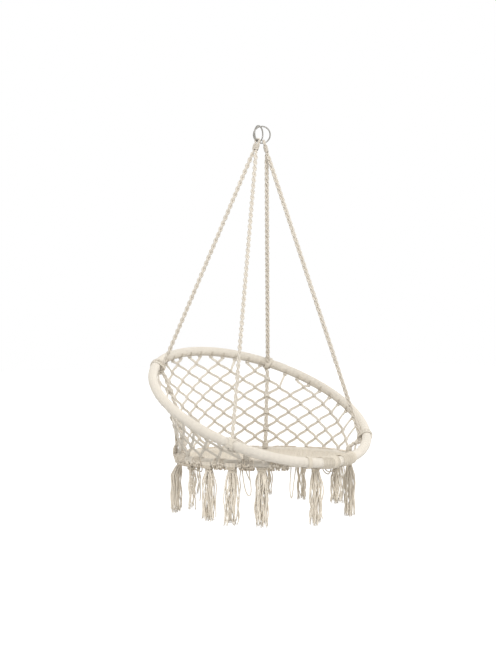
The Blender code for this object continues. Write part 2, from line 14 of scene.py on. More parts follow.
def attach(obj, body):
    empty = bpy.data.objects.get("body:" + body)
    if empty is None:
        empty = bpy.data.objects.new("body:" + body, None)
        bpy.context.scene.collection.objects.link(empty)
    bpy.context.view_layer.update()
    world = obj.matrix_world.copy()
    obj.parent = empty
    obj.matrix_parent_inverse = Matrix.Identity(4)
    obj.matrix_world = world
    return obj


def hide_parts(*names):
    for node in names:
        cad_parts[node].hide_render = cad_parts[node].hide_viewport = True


# ---------------------------------------------------------------- sizes that the frame also has

WIRE_RADIUS = 0.0025
# Each ring's outer size, its turn about Z, its lean, and its place along the hook
LARGE_RING = (0.064, radians(-40.0), radians(16.0), -0.00625)
SMALL_RING = (0.060, radians(18.0), radians(-17.0), 0.00625)

HOOP_RADIUS = 0.400
HOOP_TILT = radians(27.5)
HOOP_CENTRE = Vector((0.0, -0.0045, -0.985))
HOOP_WRAP_RADIUS = 0.0170
SEAT_RADIUS = 0.302
SEAT_WRAP_RADIUS = 0.0135
CLEARANCE = 0.0003
SEAT_CENTRE = HOOP_CENTRE + Vector((
    0.0,
    -HOOP_RADIUS * cos(HOOP_TILT) + HOOP_WRAP_RADIUS + SEAT_WRAP_RADIUS + CLEARANCE
    + SEAT_RADIUS,
    -HOOP_RADIUS * sin(HOOP_TILT)))
MAT_SAG = 0.022

ROPE_RADIUS = 0.0070
EYE_ROPE_RADIUS = 0.0045
BACK_ROPE = radians(48.75)
FRONT_ROPE = radians(-37.5)
ROPES = (BACK_ROPE, pi - BACK_ROPE, FRONT_ROPE, pi - FRONT_ROPE)
EYE_BORE = 0.0045
EYE_SEAT_GAP = 0.0008
EYE_LEG_DROP = 0.0085
COLLAR_DROP = 0.0100
SWELL_LENGTH = 0.030
STRAIGHT_STEP = 0.040
WHIPPING_LENGTH = 0.022

NET_COLUMNS = 48
NET_ROW_STEP = 0.0305
NET_BOW = 0.018
FULL_BOW_HEIGHT = 0.200
KNOT_REACH = 0.0055
CORD_THICKNESS = 0.0050
ROPE_BERTH = radians(3.0)

BINDINGS = (radians(-102.0), radians(-87.0), radians(-72.0))
BINDING_WIDTH = 0.014

# ---------------------------------------------------------------- sizes of the cord work

WINDING_CORD = 0.0014
NET_CORD = 0.0026
PAIR_GAP = 0.0052
NET_CURVE = 0.0125
TASSEL_CORD = 0.0021
NECK_DROP = 0.027
FRONT = 270.0
FRONT_REACH = 60.0
STRAND_RADIUS = 0.0034
STRAND_SPREAD = 0.0046
STRAND_DEPTH = 0.0033
PLAIT_LENGTH = 0.066
LASHING_CORD = 0.0014
LASHING_TURNS = 4
LASHING_SLANT = 0.0085
LACING_CORD = 0.0019
HITCH_PITCH = 0.0058
EDGE_RUN = (radians(-62.0), radians(244.0))
SIDE_KNOTS = (radians(133.0),)
FAN_CORD = 0.0018
# Each fan's first and last azimuth and its cords
FANS = ((265.0, 277.0, 12), (281.0, 291.0, 11))
# Each loop's two azimuths, how far it hangs down, and how far it leans along the hoop
SLACK_LOOPS = ((178.5, 182.0, 0.045, 0.010), (180.0, 180.0, 0.125, 0.014),
               (175.5, 185.0, 0.022, 0.0), (214.0, 219.0, 0.095, 0.016),
               (247.0, 250.5, 0.105, -0.012), (271.0, 280.0, 0.030, 0.0),
               (272.5, 282.0, 0.022, 0.0), (60.0, 60.0, 0.110, 0.010))
SEAT_CORD = 0.0021
SEAT_BUNDLE = 3
SEAT_SPACING = 0.0132
WHIPPING_CORD = 0.0015
FIBRE_RADIUS = 0.0005
LINE_STEP = 0.003
WELD_PLACE = 2.2
WELD_REACH = 0.12
WELD_SWELL = 0.10
STITCH_GAP = 0.0023
SEAT_TUCK = 0.002

# Each kind of knot or tie: half its width, half its depth, its turns and their pitch
NET_KNOT = (0.0054, 0.0046, 2.4, 2.0 * NET_CORD)
RIM_KNOT = (0.0056, 0.0044, 1.6, 1.8 * NET_CORD)
ROPE_TIE = (0.0088, 0.0088, 2.2, 2.0 * NET_CORD)
FOOT_TIE = (0.0095, 0.0095, 4.2, 2.0 * NET_CORD)
EDGE_KNOT = (0.0046, 0.0040, 1.7, 2.0 * LACING_CORD)
SIDE_KNOT = (0.0045, 0.0045, 1.8, 1.9 * LACING_CORD)
NECK_TURN = (0.0135, 0.0095, 1.0, 0.0)
HEAD_KNOT = (0.0038, 0.0038, 1.5, 0.0032)
HEAD_REACH = 0.0202
SIDE_COUNT = 34
GOLDEN_ANGLE = 2.399963
# How clear of a tassel's azimuth the knotted edge stays, because the tassel swings
TASSEL_BERTH = radians(4.9)

# Each tassel's azimuth and length, its pairs of cords, and how far it hangs outwards. The lengths
# follow the photograph and differ a little from those of the frame's solids.
TASSELS = ((264.5, 0.208, 12, 0.0), (286.0, 0.140, 9, 0.0), (319.0, 0.204, 15, 0.0),
           (347.0, 0.175, 8, 0.0), (22.0, 0.180, 7, 0.0), (48.0, 0.160, 8, 0.0),
           (71.0, 0.150, 6, 0.0), (107.0, 0.150, 3, 0.0), (140.0, 0.190, 16, 0.012),
           (171.0, 0.165, 5, 0.0), (190.0, 0.200, 13, 0.0), (207.5, 0.205, 12, 0.0),
           (227.5, 0.208, 14, 0.0))
TASSEL_SPACING = 0.0042
TASSEL_WIDTH = 0.036
HEAD_SPACING = 0.0064

# Each cotton's light and deep colour, its plies, the length of a ply's turn, and its relief. The
# deep colour is painted shade in the grooves between plies, and also the dark end of each cord's
# own tone.
COTTONS = {
    "plaited_rope": ((0.76, 0.71, 0.63), (0.40, 0.35, 0.28), 3, 0.016, 0.0005),
    "wound_hoop": ((0.81, 0.76, 0.68), (0.58, 0.53, 0.45), 2, 0.006, 0.0002),
    "net_cord": ((0.84, 0.79, 0.71), (0.46, 0.41, 0.33), 3, 0.010, 0.0003),
    "seat_cord": ((0.76, 0.70, 0.60), (0.50, 0.44, 0.35), 3, 0.010, 0.0003),
    "knotted_edge": ((0.94, 0.88, 0.78), (0.44, 0.36, 0.26), 2, 0.007, 0.0005),
    "tassel_cord": ((0.86, 0.80, 0.70), (0.54, 0.47, 0.37), 3, 0.009, 0.0003),
}

UP = Vector((0.0, 0.0, 1.0))


# ---------------------------------------------------------------- finishes

def node(tree, kind, **settings):
    made = tree.nodes.new(kind)
    for name, value in settings.items():
        setattr(made, name, value)
    return made


def link(source, target):
    target.id_data.links.new(source, target)


def maths(tree, operation, *values):
    made = node(tree, "ShaderNodeMath", operation=operation)
    for socket, value in zip(made.inputs, values):
        if isinstance(value, (int, float)):
            socket.default_value = value
        else:
            link(value, socket)
    return made.outputs[0]


def attribute(tree, name):
    return node(tree, "ShaderNodeAttribute", attribute_name=name)


def noise(tree, scale, detail):
    place = node(tree, "ShaderNodeTexCoord")
    made = node(tree, "ShaderNodeTexNoise")
    made.inputs["Scale"].default_value = scale
    made.inputs["Detail"].default_value = detail
    link(place.outputs["Object"], made.inputs["Vector"])
    return made.outputs["Fac"]


def new_finish(name):
    """A material with its tree and its shader."""
    made = bpy.data.materials.new(name)
    made.use_nodes = True
    return made, made.node_tree, made.node_tree.nodes["Principled BSDF"]


def relief_of(tree, shader, height, distance, strength):
    bump = node(tree, "ShaderNodeBump")
    bump.inputs["Distance"].default_value = distance
    bump.inputs["Strength"].default_value = strength
    link(height, bump.inputs["Height"])
    link(bump.outputs["Normal"], shader.inputs["Normal"])


def cotton(name, light, deep, plies, ply_length, relief):
    """Twisted cotton: ply lines that follow the cord, darkened in their grooves as painted shade,
    fibre noise, and a tone for each cord.
    """
    made, tree, shader = new_finish(name)
    shader.inputs["Roughness"].default_value = 0.92
    shader.inputs["Specular IOR Level"].default_value = 0.25
    shader.inputs["Sheen Weight"].default_value = 0.15
    shader.inputs["Sheen Roughness"].default_value = 0.6

    around = node(tree, "ShaderNodeSeparateXYZ")
    link(attribute(tree, "around").outputs["Vector"], around.inputs[0])
    angle = maths(tree, 'ARCTAN2', around.outputs["Y"], around.outputs["X"])
    twist = maths(tree, 'MULTIPLY', attribute(tree, "along").outputs["Fac"], tau / ply_length)
    lines = maths(tree, 'SINE', maths(tree, 'ADD', maths(tree, 'MULTIPLY', angle, plies), twist))
    ply = maths(tree, 'MULTIPLY_ADD', lines, 0.5, 0.5)

    fibre = noise(tree, 700.0, 4.0)
    patches = noise(tree, 9.0, 3.0)
    tone = attribute(tree, "tone").outputs["Fac"]
    # The ply lines pull the colour towards the deep colour in the grooves between plies: painted
    # shade.
    share = maths(tree, 'MULTIPLY', ply, 0.45)
    for part, weight in ((fibre, 0.35), (patches, 0.25), (tone, 1.0)):
        share = maths(tree, 'MULTIPLY_ADD', part, weight, share)
    blend = node(tree, "ShaderNodeMix", data_type='RGBA', clamp_factor=True)
    blend.inputs["A"].default_value = (*deep, 1.0)
    blend.inputs["B"].default_value = (*light, 1.0)
    link(share, blend.inputs["Factor"])
    link(blend.outputs["Result"], shader.inputs["Base Color"])

    relief_of(tree, shader, maths(tree, 'MULTIPLY_ADD', fibre, 0.6, ply), relief, 0.8)
    return made


def steel(name, colour, roughness):
    """Drawn wire: fine scratches and a slightly uneven polish."""
    made, tree, shader = new_finish(name)
    shader.inputs["Base Color"].default_value = (*colour, 1.0)
    shader.inputs["Metallic"].default_value = 1.0
    worn = maths(tree, 'MULTIPLY_ADD', noise(tree, 160.0, 5.0), 0.2, roughness)
    link(worn, shader.inputs["Roughness"])
    relief_of(tree, shader, noise(tree, 900.0, 3.0), 0.00005, 1.0)
    return made


# ---------------------------------------------------------------- cord along its path

def placed(name, data):
    item = bpy.data.objects.new(name, data)
    bpy.context.scene.collection.objects.link(item)
    return item


class Paths:
    """Centre lines of cords, gathered into one mesh of edges."""

    def __init__(self):
        self.points = []
        self.edges = []
        self.thickness = []
        self.tone = []

    def add(self, points, closed=False, thickness=1.0, tone=0.0):
        first = len(self.points)
        count = len(points)
        self.points += [tuple(point) for point in points]
        self.edges += [(first + n, first + n + 1) for n in range(count - 1)]
        if closed:
            self.edges.append((first + count - 1, first))
        self.thickness += list(thickness) if hasattr(thickness, "__len__") else [thickness] * count
        self.tone += [tone] * count

    def carrier(self, name):
        mesh = bpy.data.meshes.new(name)
        mesh.from_pydata(self.points, self.edges, [])
        for label, values in (("thickness", self.thickness), ("tone", self.tone)):
            mesh.attributes.new(label, 'FLOAT', 'POINT').data.foreach_set("value", values)
        return placed(name, mesh)


def new_tree(name, inputs):
    tree = bpy.data.node_groups.new(name, 'GeometryNodeTree')
    for label, kind in inputs:
        tree.interface.new_socket(name=label, in_out='INPUT', socket_type='NodeSocket' + kind)
    tree.interface.new_socket(name="Cords", in_out='OUTPUT', socket_type='NodeSocketGeometry')
    return tree, tree.nodes.new('NodeGroupInput').outputs, tree.nodes.new('NodeGroupOutput').inputs


def keep_value(tree, geometry, label, kind, value):
    """Stores a value on the points, for the finish to read."""
    store = node(tree, 'GeometryNodeStoreNamedAttribute', data_type=kind, domain='POINT')
    store.inputs["Name"].default_value = label
    link(geometry, store.inputs["Geometry"])
    link(value, store.inputs["Value"])
    return store.outputs[0]


def sweep(tree, line, given, scale=None):
    """Runs a round cord along the curve and gives it its finish."""
    spot = node(tree, 'GeometryNodeSplineParameter')
    line = keep_value(tree, line, "along", 'FLOAT', spot.outputs["Length"])
    profile = node(tree, 'GeometryNodeCurvePrimitiveCircle')
    link(given["Sides"], profile.inputs["Resolution"])
    link(given["Cord radius"], profile.inputs["Radius"])
    place = node(tree, 'GeometryNodeInputPosition')
    outline = keep_value(tree, profile.outputs["Curve"], "around", 'FLOAT_VECTOR',
                         place.outputs[0])
    cord = node(tree, 'GeometryNodeCurveToMesh')
    cord.inputs["Fill Caps"].default_value = True
    link(line, cord.inputs["Curve"])
    link(outline, cord.inputs["Profile Curve"])
    if scale:
        link(scale, cord.inputs["Scale"])
    smooth = node(tree, 'GeometryNodeSetShadeSmooth')
    link(cord.outputs[0], smooth.inputs["Geometry"])
    real = node(tree, 'GeometryNodeRealizeInstances')
    link(smooth.outputs[0], real.inputs[0])
    finish = node(tree, 'GeometryNodeSetMaterial')
    link(real.outputs[0], finish.inputs["Geometry"])
    link(given["Finish"], finish.inputs["Material"])
    return finish.outputs[0]


def cord_tree():
    tree, given, result = new_tree("Cord along a path", (
        ("Paths", 'Geometry'), ("Cord radius", 'Float'), ("Sides", 'Int'), ("Finish", 'Material')))
    line = node(tree, 'GeometryNodeMeshToCurve')
    link(given["Paths"], line.inputs["Mesh"])
    thick = node(tree, 'GeometryNodeInputNamedAttribute', data_type='FLOAT')
    thick.inputs["Name"].default_value = "thickness"
    link(sweep(tree, line.outputs[0], given, thick.outputs[0]), result[0])
    return tree


def winding_tree():
    """A cord wound closely round a hoop, all the way round it."""
    tree, given, result = new_tree("Cord wound round a hoop", (
        ("Hoop radius", 'Float'), ("Winding radius", 'Float'), ("Turns", 'Int'),
        ("Points a turn", 'Int'), ("Unevenness", 'Float'), ("Cord radius", 'Float'),
        ("Sides", 'Int'), ("Finish", 'Material')))
    hoop = node(tree, 'GeometryNodeCurvePrimitiveCircle')
    points = maths(tree, 'MULTIPLY', given["Turns"], given["Points a turn"])
    link(points, hoop.inputs["Resolution"])
    link(given["Hoop radius"], hoop.inputs["Radius"])
    spot = node(tree, 'GeometryNodeSplineParameter')
    step = maths(tree, 'DIVIDE', spot.outputs["Index"], given["Points a turn"])
    turn = maths(tree, 'MULTIPLY', step, tau)
    place = node(tree, 'GeometryNodeInputPosition')
    outward = node(tree, 'ShaderNodeVectorMath', operation='NORMALIZE')
    link(place.outputs[0], outward.inputs[0])
    rough = node(tree, 'ShaderNodeTexNoise')
    rough.inputs["Scale"].default_value = 60.0
    uneven = maths(tree, 'SUBTRACT', rough.outputs["Fac"], 0.5)
    lift = maths(tree, 'MULTIPLY', uneven, given["Unevenness"])
    radius = maths(tree, 'ADD', given["Winding radius"], lift)
    sideways = node(tree, 'ShaderNodeVectorMath', operation='SCALE')
    link(outward.outputs[0], sideways.inputs[0])
    link(maths(tree, 'MULTIPLY', radius, maths(tree, 'COSINE', turn)),
                   sideways.inputs["Scale"])
    upward = node(tree, 'ShaderNodeCombineXYZ')
    link(maths(tree, 'MULTIPLY', radius, maths(tree, 'SINE', turn)), upward.inputs["Z"])
    offset = node(tree, 'ShaderNodeVectorMath', operation='ADD')
    link(sideways.outputs[0], offset.inputs[0])
    link(upward.outputs[0], offset.inputs[1])
    wound = node(tree, 'GeometryNodeSetPosition')
    link(hoop.outputs["Curve"], wound.inputs["Geometry"])
    link(offset.outputs[0], wound.inputs["Offset"])
    link(sweep(tree, wound.outputs[0], given), result[0])
    return tree


def worked(item, tree, values):
    """Runs a tree on an object and leaves the plain mesh."""
    modifier = item.modifiers.new(tree.name, 'NODES')
    modifier.node_group = tree
    for socket in tree.interface.items_tree:
        if socket.name in values:
            modifier[socket.identifier] = values[socket.name]
    bpy.context.view_layer.update()
    evaluated = item.evaluated_get(bpy.context.evaluated_depsgraph_get())
    mesh = bpy.data.meshes.new_from_object(evaluated)
    item.modifiers.clear()
    carrier = item.data
    item.data = mesh
    bpy.data.meshes.remove(carrier)
    mesh.name = item.name
    return item


def corded(name, paths, radius, sides, finish):
    values = {"Cord radius": radius, "Sides": sides, "Finish": finish}
    return worked(paths.carrier(name), CORD_TREE, values)


def wound_hoop(name, hoop_radius, wrap_radius, place, finish):
    """A hoop's winding, in turns that lie close beside each other."""
    turns = round(tau * hoop_radius / (2.0 * WINDING_CORD))
    item = worked(Paths().carrier(name), WINDING_TREE, {
        "Hoop radius": hoop_radius, "Winding radius": wrap_radius - WINDING_CORD, "Turns": turns,
        "Points a turn": 15, "Unevenness": 0.0008, "Cord radius": WINDING_CORD * 1.06, "Sides": 5,
        "Finish": finish})
    item.data.transform(place)
    return item


# ---------------------------------------------------------------- where the hoops and the net run

def hoop_point(angle):
    return HOOP_CENTRE + HOOP_RADIUS * Vector((
        cos(angle), cos(HOOP_TILT) * sin(angle), sin(HOOP_TILT) * sin(angle)))


def level(azimuth):
    """The level direction at an azimuth."""
    return Vector((cos(azimuth), sin(azimuth), 0.0))


def seat_point(angle):
    return SEAT_CENTRE + SEAT_RADIUS * level(angle)


def arc(middle, across, up, radius, degrees):
    """Points round a middle, each at an angle from one direction towards the other."""
    return [middle + (across * cos(a) + up * sin(a)) * radius
            for a in map(radians, degrees)]


def along(point_at, angle):
    small = 0.001
    return (point_at(angle + small) - point_at(angle - small)).normalized()


def square_to(direction, axis):
    return (direction - axis * direction.dot(axis)).normalized()


def net_line(azimuth, height):
    """A point of the net's surface at a height, on the line from seat hoop to rim hoop."""
    low = seat_point(azimuth)
    high = hoop_point(azimuth)
    share = (height - low.z) / (high.z - low.z)
    bow = NET_BOW * sin(pi * min(max(share, 0.0), 1.0))
    bow *= min(1.0, (high.z - low.z) / FULL_BOW_HEIGHT)
    return low.lerp(high, share) - level(azimuth) * bow


def column_azimuth(column):
    return (column + 0.5) * tau / NET_COLUMNS


def row_height(row):
    return SEAT_CENTRE.z + SEAT_WRAP_RADIUS + 2.0 * CLEARANCE + KNOT_REACH + row * NET_ROW_STEP


def near_rope(azimuth, reach):
    return any(abs(math.remainder(azimuth - rope, tau)) < reach for rope in ROPES)


def top_row(column):
    azimuth = column_azimuth(column)
    clear = HOOP_WRAP_RADIUS + (3.0 if near_rope(azimuth, ROPE_BERTH) else 2.0) * ROPE_RADIUS
    room = hoop_point(azimuth).z - clear - row_height(0)
    return math.floor(room / NET_ROW_STEP)


def tie_place(azimuth):
    centre = seat_point(azimuth)
    lean = square_to(net_line(azimuth, row_height(1)) - centre, along(seat_point, azimuth))
    return centre + lean * (SEAT_WRAP_RADIUS + KNOT_REACH + 2.0 * CLEARANCE), lean


def rim_place(azimuth):
    centre = hoop_point(azimuth)
    lean = square_to(seat_point(azimuth) - centre, along(hoop_point, azimuth))
    return centre + lean * (HOOP_WRAP_RADIUS + KNOT_REACH + 2.0 * CLEARANCE), -lean


def net_layout():
    """Every knot's key (column, row) with its centre and its upward direction."""
    knots = {}
    for column in range(NET_COLUMNS):
        azimuth = column_azimuth(column)
        if hoop_point(azimuth).z - seat_point(azimuth).z < 0.5 * NET_ROW_STEP:
            continue
        if column % 2 == 0:
            knots[column, 0] = tie_place(azimuth)
        elif top_row(column) < 1:
            knots[column, 1] = rim_place(azimuth)
        for row in range(2 - column % 2, top_row(column) + 1, 2):
            place = net_line(azimuth, row_height(row))
            above = net_line(azimuth, row_height(row) + KNOT_REACH)
            knots[column, row] = (place, (above - place).normalized())
    return knots


# ---------------------------------------------------------------- lines

def flow(points, step):
    """A smooth line through the points, in even steps. Each bend keeps to its own stretch."""
    points = [Vector(point) for point in points]
    headings = []
    for index in range(len(points)):
        before = points[index] - points[max(index - 1, 0)]
        after = points[min(index + 1, len(points) - 1)] - points[index]
        headings.append((before.normalized() + after.normalized()).normalized())
    dense = []
    for first, last, leave, arrive in zip(points, points[1:], headings, headings[1:]):
        reach = (last - first).length / 3.0
        dense += bend(first, leave, last, arrive, reach, 10)[:-1]
    dense.append(points[-1])
    table = np.array([point[:] for point in dense])
    lengths = np.concatenate(([0.0], np.cumsum(np.linalg.norm(np.diff(table, axis=0), axis=1))))
    count = max(2, round(lengths[-1] / step) + 1)
    even = np.linspace(0.0, lengths[-1], count)
    return [Vector([np.interp(place, lengths, table[:, axis]) for axis in range(3)])
            for place in even]


def frames(line, first_side):
    """The direction, side and depth at each point of a line, carried along it without twisting."""
    result = []
    side = first_side
    for index in range(len(line)):
        run = (line[min(index + 1, len(line) - 1)] - line[max(index - 1, 0)]).normalized()
        side = square_to(side, run)
        result.append((run, side, run.cross(side)))
    return result


def plait(paths, line, first_side, shares, rng):
    """Three strands plaited round a line. The shares thin it towards its eye."""
    step = (line[1] - line[0]).length
    setting = frames(line, first_side)
    for strand in range(3):
        angle = tau * strand / 3.0
        points = []
        for (run, side, deep), point, share in zip(setting, line, shares):
            points.append(point + side * STRAND_SPREAD * share * cos(angle)
                          + deep * STRAND_DEPTH * share * sin(2.0 * angle))
            angle += tau * step / (PLAIT_LENGTH * (0.5 + 0.5 * share))
        paths.add(points, thickness=shares, tone=rng.uniform(-0.05, 0.05))


def coil(centre, axis, wide, deep, half_wide, half_deep, turns, pitch, steps=10):
    """An open oval winding round an axis."""
    points = []
    for index in range(round(turns * steps) + 1):
        turn = index / steps
        angle = tau * turn
        points.append(centre + axis * pitch * (turn - turns / 2.0) + wide * half_wide * cos(angle)
                      + deep * half_deep * sin(angle))
    return points


def bend(start, start_way, end, end_way, reach, steps):
    """A line that leaves and arrives in given directions."""
    first = start + start_way * reach
    last = end - end_way * reach
    points = []
    for index in range(steps + 1):
        t = index / steps
        u = 1.0 - t
        points.append(start * u ** 3 + first * 3.0 * u * u * t + last * 3.0 * u * t * t
                      + end * t ** 3)
    return points


# ---------------------------------------------------------------- rings and ropes

class RingShape:
    """A wire ring hung on the hook, turned about Z and leaning in its own plane."""

    def __init__(self, outer, turn, lean, along_hook):
        hook_rod = Vector((sin(LARGE_RING[1]), -cos(LARGE_RING[1]), 0.0))
        self.wire_run = level(turn)
        self.wire_reach = outer / 2.0 - WIRE_RADIUS
        away = self.wire_run * sin(lean) - UP * cos(lean)
        self.centre = hook_rod * along_hook + away * (self.wire_reach - WIRE_RADIUS)
        self.foot = self.centre + away * self.wire_reach
        self.foot_run = self.wire_run * cos(lean) + UP * sin(lean)


def ring_wire(name, shape, finish):
    """The wire ring, finely round, with the low bead where it is welded shut."""
    bm = bmesh.new()
    segments = 96
    sides = 14
    rows = []
    for step in range(segments):
        turn = tau * step / segments
        out = shape.wire_run * cos(turn) + UP * sin(turn)
        across = shape.wire_run.cross(UP)
        weld = max(0.0, 1.0 - abs(math.remainder(turn - WELD_PLACE, tau)) / WELD_REACH)
        radius = WIRE_RADIUS * (1.0 + WELD_SWELL * weld * weld * (3.0 - 2.0 * weld))
        rows.append([bm.verts.new(shape.centre + out * (shape.wire_reach + radius * cos(a))
                                  + across * radius * sin(a))
                     for a in (tau * side / sides for side in range(sides))])
    for first, second in zip(rows, rows[1:] + rows[:1]):
        for side in range(sides):
            after = (side + 1) % sides
            bm.faces.new((first[side], first[after], second[after], second[side]))
    bmesh.ops.recalc_face_normals(bm, faces=bm.faces)
    mesh = bpy.data.meshes.new(name)
    bm.to_mesh(mesh)
    bm.free()
    mesh.shade_smooth()
    mesh.materials.append(finish)
    return placed(name, mesh)


def crossing(azimuth, from_point):
    """Where a rope passes inside the rim hoop: the hoop's middle, its run, up and out."""
    centre = hoop_point(azimuth)
    run = along(hoop_point, azimuth)
    up = square_to(from_point - centre, run)
    out = square_to(Vector((centre.x, centre.y - HOOP_CENTRE.y, 0.0)), run)
    return centre, run, up, square_to(out, up)


def pass_hoop(azimuth, from_point):
    """The rope's way down the inner side of the rim hoop."""
    centre, run, up, out = crossing(azimuth, from_point)
    radius = HOOP_WRAP_RADIUS + ROPE_RADIUS * 0.9
    return arc(centre, -out, up, radius, (20.0, 0.0, -25.0, -50.0))


def lashing(paths, azimuth, from_point, rng):
    """Thin cord round the rope and the rim hoop, slanting one way and then the other."""
    centre, run, up, out = crossing(azimuth, from_point)
    for slant in (1.0, -1.0):
        for turn in range(LASHING_TURNS):
            middle = (turn - (LASHING_TURNS - 1) / 2.0) * 2.1 * LASHING_CORD
            points = []
            for step in range(30):
                angle = tau * step / 30.0
                inner = max(0.0, cos(angle - pi))
                radius = HOOP_WRAP_RADIUS + LASHING_CORD * (1.0 if slant > 0.0 else 1.7)
                radius += 1.9 * ROPE_RADIUS * inner ** 6
                shift = middle + slant * LASHING_SLANT * sin(angle)
                points.append(centre + (out * cos(angle) + up * sin(angle)) * radius
                              + run * shift)
            paths.add(points, closed=True, tone=rng.uniform(-0.30, -0.08))


def lower_leg(azimuth, start):
    """The rope from its hitch down the inside of the net to the top of the seat hoop."""
    inside = CORD_THICKNESS / 2.0 + ROPE_RADIUS + 4.0 * CLEARANCE
    inward = -level(azimuth)
    lean = tie_place(azimuth)[1]
    reach = (SEAT_WRAP_RADIUS + KNOT_REACH) * math.sqrt(1.0 - lean.z * lean.z)
    beside = max(0.0, inside - reach)
    foot = seat_point(azimuth) + inward * beside
    foot.z = SEAT_CENTRE.z + SEAT_WRAP_RADIUS + 2.0 * CLEARANCE
    top = start.z - 2.0 * ROPE_RADIUS
    bottom = foot.z + 2.0 * ROPE_RADIUS
    rows = max(1, round((top - bottom) / NET_ROW_STEP))
    points = []
    for row in range(rows):
        height = top + (bottom - top) * row / rows
        here = net_line(azimuth, height)
        rise = (net_line(azimuth, height + ROPE_RADIUS) - here).normalized()
        normal = rise.cross(along(seat_point, azimuth)).normalized()
        if normal.dot(inward) < 0.0:
            normal.negate()
        points.append(here + normal * inside)
    points.append(foot + UP * (bottom - foot.z))
    points.append(foot)
    return points


def between(start, end):
    """Points at even steps along a straight run of rope."""
    count = math.ceil((end - start).length / STRAIGHT_STEP)
    return [start.lerp(end, index / count) for index in range(count)]


def rope_route(side, foot, wire):
    """From the back of the seat hoop up to the eye on the ring, and down to the front."""
    back = BACK_ROPE if side > 0 else pi - BACK_ROPE
    front = FRONT_ROPE if side > 0 else pi - FRONT_ROPE
    middle = (hoop_point(back) + hoop_point(front)) / 2.0
    down = square_to(middle - foot, wire)
    toward_back = wire.cross(down).normalized()
    if toward_back.y < 0.0:
        toward_back.negate()
    fold_radius = EYE_BORE + EYE_ROPE_RADIUS
    fold_centre = foot + down * (EYE_BORE - WIRE_RADIUS - EYE_SEAT_GAP)
    fold = []
    for step in range(9):
        turn = pi * step / 8.0
        fold.append(fold_centre
                    + fold_radius * (cos(turn) * toward_back - sin(turn) * down))
    beside = EYE_ROPE_RADIUS + CLEARANCE
    legs = {}
    for name, azimuth, sign in (("back", back, 1.0), ("front", front, -1.0)):
        top = fold_centre + down * EYE_LEG_DROP + toward_back * sign * beside
        bottom = top + down * (WHIPPING_LENGTH + 2.0 * (COLLAR_DROP - EYE_LEG_DROP))
        inside = pass_hoop(azimuth, bottom)
        full = bottom + (inside[0] - bottom).normalized() * SWELL_LENGTH
        legs[name] = ([top, bottom] + between(full, inside[0]) + inside
                      + lower_leg(azimuth, inside[-1]))
    collar = (fold_centre + down * (COLLAR_DROP + WHIPPING_LENGTH / 2.0), down, toward_back)
    return list(reversed(legs["back"])) + fold + legs["front"], fold_centre, collar


def rope(name, side, shape, finish, rng):
    route, fold_centre, collar = rope_route(side, shape.foot, shape.foot_run)
    line = flow(route, LINE_STEP)
    thin = EYE_ROPE_RADIUS / ROPE_RADIUS
    eye_end = EYE_LEG_DROP + WHIPPING_LENGTH
    shares = []
    for point in line:
        past = ((point - fold_centre).length - eye_end) / SWELL_LENGTH
        shares.append(thin + (1.0 - thin) * min(1.0, max(0.0, past)))
    paths = Paths()
    plait(paths, line, shape.foot_run, shares, rng)
    return corded(name, paths, STRAND_RADIUS, 8, finish), collar


def whipping(name, collar, finish):
    """A cord wound round the two legs of an eye."""
    centre, down, across = collar
    half = EYE_ROPE_RADIUS + WHIPPING_CORD
    pitch = 2.0 * WHIPPING_CORD
    turns = WHIPPING_LENGTH / pitch
    points = []
    for index in range(round(turns * 20) + 1):
        turn = index / 20.0
        angle = tau * turn
        swell = 1.0 + 0.08 * sin(pi * turn / turns)
        shift = math.copysign(EYE_ROPE_RADIUS * min(1.0, abs(cos(angle)) * 3.0),
                              cos(angle))
        points.append(centre + down * pitch * (turn - turns / 2.0)
                      + across * (shift + half * swell * cos(angle))
                      + down.cross(across) * half * swell * sin(angle))
    paths = Paths()
    paths.add(points)
    return corded(name, paths, WHIPPING_CORD * 1.05, 6, finish)


# ---------------------------------------------------------------- net

def net_frames(layout):
    """Each knot's centre with its up, side and outward directions."""
    result = {}
    for key, (centre, up) in layout.items():
        point_at = hoop_point if key[1] == 1 and top_row(key[0]) < 1 else seat_point
        side = square_to(along(point_at, column_azimuth(key[0])), up)
        result[key] = (centre, up, side, side.cross(up).normalized())
    return result


def knotted_net(name, finish, rng):
    """Pairs of cords between knots, each knot a few turns of cord round the pairs that meet."""
    knots = net_frames(net_layout())
    paths = Paths()
    for (column, row), (centre, up, side, out) in knots.items():
        paths.add(coil(centre, up, side, out, *NET_KNOT), tone=rng.uniform(-0.14, 0.02))
        if row == 1 and top_row(column) < 1:
            continue
        for sign in (1, -1):
            above = ((column + sign) % NET_COLUMNS, row + 1)
            if above in knots:
                span(paths, knots[column, row], knots[above], sign, rng)
            elif not near_rope(column_azimuth(column), ROPE_BERTH / 3.0):
                rim_hitch(paths, knots[column, row], column, sign, rng)
    return corded(name, paths, NET_CORD, 6, finish)


def span(paths, low, high, sign, rng):
    """The doubled cord from one knot up to the next."""
    run = (high[0] - low[0]).normalized()
    apart = run.cross(low[3]).normalized() * PAIR_GAP / 2.0
    slack = low[3] * rng.uniform(-0.0015, 0.0015)
    for lane in (-1.0, 1.0):
        start = low[0] + low[2] * sign * 0.0026 + apart * lane * 0.8
        end = high[0] - high[2] * sign * 0.0026 + apart * lane * 0.8
        line = bend(start, low[1], end, high[1], NET_CURVE, 10)
        for index in range(2, 9):
            line[index] += slack + apart * lane * 0.2 * sin(pi * index / 10.0)
        paths.add(line, tone=rng.uniform(-0.06, 0.06))


